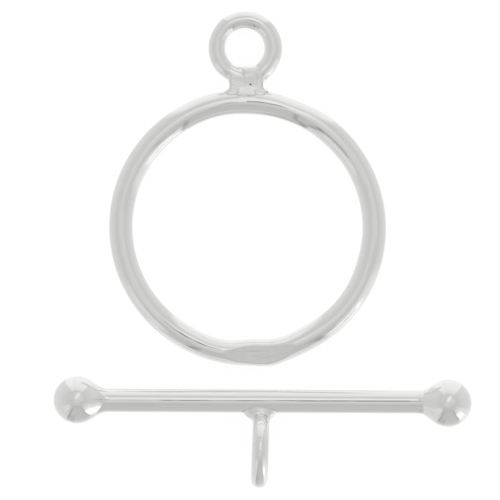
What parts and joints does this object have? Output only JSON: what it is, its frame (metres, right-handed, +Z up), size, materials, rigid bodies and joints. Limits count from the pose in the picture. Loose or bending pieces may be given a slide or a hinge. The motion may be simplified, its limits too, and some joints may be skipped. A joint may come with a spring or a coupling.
{
  "type": "toggle clasp",
  "caption": "Polished silver toggle clasp: a wire ring and a ball-ended bar, each with a small soldered loop for a chain, the bar locking across the ring.",
  "frame": {"origin": "on the surface that both pieces lie on, under the middle of the laid-out pair's box", "axes": "+X along the bar, +Y from the bar across the ring to the ring's loop, +Z up from the surface"},
  "size_m": [0.0228, 0.0258, 0.004],
  "materials": {
    "silver": "hand polished sterling silver"
  },
  "bodies": {
    "root": {"toggle_ring": "silver", "toggle_bar": "silver"}
  },
  "joints": []
}
